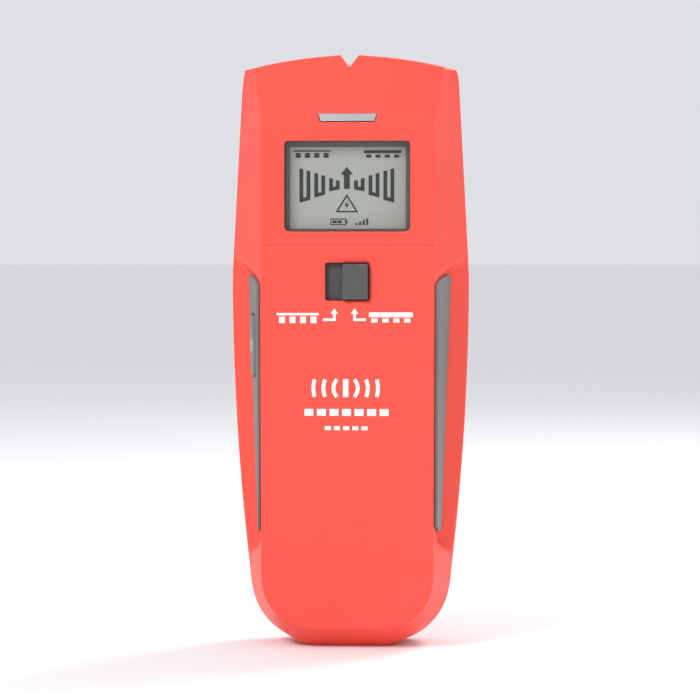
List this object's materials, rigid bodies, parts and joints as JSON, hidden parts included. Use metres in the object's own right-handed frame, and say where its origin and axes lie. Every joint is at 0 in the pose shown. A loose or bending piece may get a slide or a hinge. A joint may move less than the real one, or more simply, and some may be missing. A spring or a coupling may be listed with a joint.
{
  "type": "stud finder",
  "caption": "Handheld stud finder with a sloped sensing head, display window, slide mode switch, side power button, rubber finger grips and a hinged 9 V battery door.",
  "frame": {"origin": "middle of the bounding box footprint, at the foot the tool stands on", "axes": "+Z along the body from the handle end to the sensing tip, -Y out of the front panel, +Y out of the flat sensing back, +X to the viewer's right when looking at the display"},
  "size_m": [0.067, 0.0292, 0.1659],
  "materials": {
    "red_plastic": "fine-textured moulded ABS, satin",
    "label_film": null,
    "clear_window": "clear polycarbonate",
    "black_foam": "closed-cell foam",
    "lcd_panel": "reflective liquid-crystal glass",
    "white_plastic": "moulded",
    "conductive_rubber": "layered silicone",
    "indicator_lens": "frosted light pipe",
    "led_package": "clear epoxy on white",
    "dark_plastic": "moulded satin",
    "switch_metal": "tinned cover",
    "black_plastic": "moulded",
    "grip_rubber": "soft elastomer",
    "button_rubber": "soft elastomer",
    "plunger_plastic": "moulded",
    "board_green": "solder mask",
    "chip_black": "moulded epoxy",
    "board_blue": "solder mask",
    "copper": "bare plated copper",
    "battery_wrap": "lacquered steel can",
    "terminal_metal": "nickel plated",
    "clip_vinyl": "vinyl",
    "lead_red": "vinyl insulation",
    "lead_black": "vinyl insulation",
    "screw_steel": "zinc plated"
  },
  "bodies": {
    "body": {"front_casing": "red_plastic", "rear_casing": "red_plastic", "rear_label": "label_film", "display_window": "clear_window", "display_gasket": "black_foam", "lcd_glass": "lcd_panel", "lcd_frame": "white_plastic", "zebra_strips": "conductive_rubber", "indicator_lens": "indicator_lens", "indicator_leds": "led_package", "mode_switch_body": "switch_metal", "left_grip": "grip_rubber", "right_grip": "grip_rubber", "power_switch_body": "black_plastic", "main_board": "board_green", "microcontroller": "chip_black", "amplifier_chips": "chip_black", "buzzer": "black_plastic", "sensor_board": "board_blue", "sensor_pads": "copper", "board_header": "black_plastic", "battery_case": "battery_wrap", "battery_terminals": "terminal_metal", "clip_contacts": "terminal_metal", "battery_clip": "clip_vinyl", "positive_lead": "lead_red", "negative_lead": "lead_black", "battery_foam": "black_foam", "casing_screws": "screw_steel", "board_screws": "screw_steel"},
    "knob": {"mode_knob": "dark_plastic", "mode_switch_lever": "black_plastic"},
    "button": {"power_button": "button_rubber", "power_switch_plunger": "plunger_plastic"},
    "door": {"battery_door": "red_plastic"}
  },
  "joints": [
    {"name": "mode_slide", "type": "slide", "parent": "body", "child": "knob", "axis": [1, 0, 0], "range_m": [-0.0046, 0]},
    {"name": "power_press", "type": "slide", "parent": "body", "child": "button", "axis": [1, 0, 0], "range_m": [0, 0.0008], "stiffness_N_per_m": 1500, "springref_m": -0.0005},
    {"name": "door_hinge", "type": "hinge", "parent": "body", "child": "door", "pos_m": [0, 0.01295, 0.0606], "axis": [1, 0, 0], "range_deg": [0, 75]}
  ]
}
